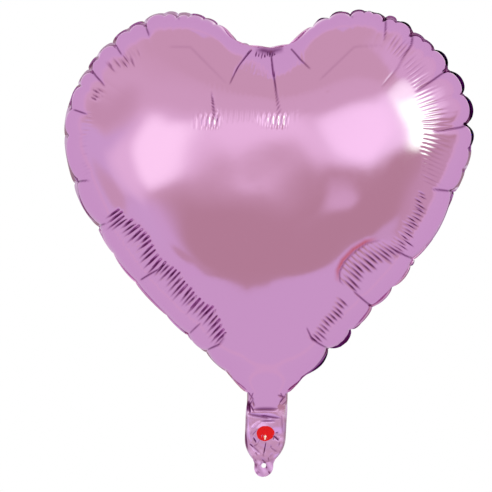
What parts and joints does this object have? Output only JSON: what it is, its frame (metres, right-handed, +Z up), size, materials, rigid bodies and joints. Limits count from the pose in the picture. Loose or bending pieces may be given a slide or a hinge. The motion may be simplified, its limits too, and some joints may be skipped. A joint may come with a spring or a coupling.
{
  "type": "heart-shaped foil balloon",
  "caption": "Inflated heart-shaped foil balloon with a crimped seam, folding tail with a self-sealing valve, and a hanging tab with a ribbon hole.",
  "frame": {"origin": "centre of the ribbon hole in the hanging tab, on the seam plane", "axes": "+Z up along the heart, +Y towards the back along the ribbon hole, front faces -Y, +X to the right seen from the front"},
  "size_m": [0.3808, 0.1772, 0.4311],
  "materials": {
    "front_foil": "mirror-bright metallised lilac film",
    "back_foil": "mirror-bright metallised lilac film",
    "clear_film": "clear soft film",
    "release_ink": "thin heat-resistant coating",
    "marker_red": "printed ink",
    "marker_white": "printed ink"
  },
  "bodies": {
    "envelope": {"front_panel": "front_foil", "back_panel": "back_foil", "valve_tongue": "clear_film"},
    "tail": {"tail_front_panel": "front_foil", "tail_back_panel": "back_foil", "valve_sleeve_front": "clear_film", "valve_sleeve_back": "clear_film", "release_ink": "release_ink", "valve_marker": "marker_red", "marker_arrow": "marker_white"},
    "tab": {"tab_front_sheet": "front_foil", "tab_back_sheet": "back_foil"},
    "valve_flap": {"valve_flap": "clear_film"}
  },
  "joints": [
    {"name": "tail_fold", "type": "hinge", "parent": "envelope", "child": "tail", "pos_m": [0.0034, 0, 0.062], "axis": [1, 0, 0], "range_deg": [-100, 100]},
    {"name": "tab_fold", "type": "hinge", "parent": "tail", "child": "tab", "pos_m": [0, 0, 0.005], "axis": [1, 0, 0], "range_deg": [-120, 120]},
    {"name": "flap_open", "type": "hinge", "parent": "envelope", "child": "valve_flap", "pos_m": [0.0034, 0.0002, 0.066], "axis": [-1, 0, 0], "range_deg": [0, 5]}
  ]
}
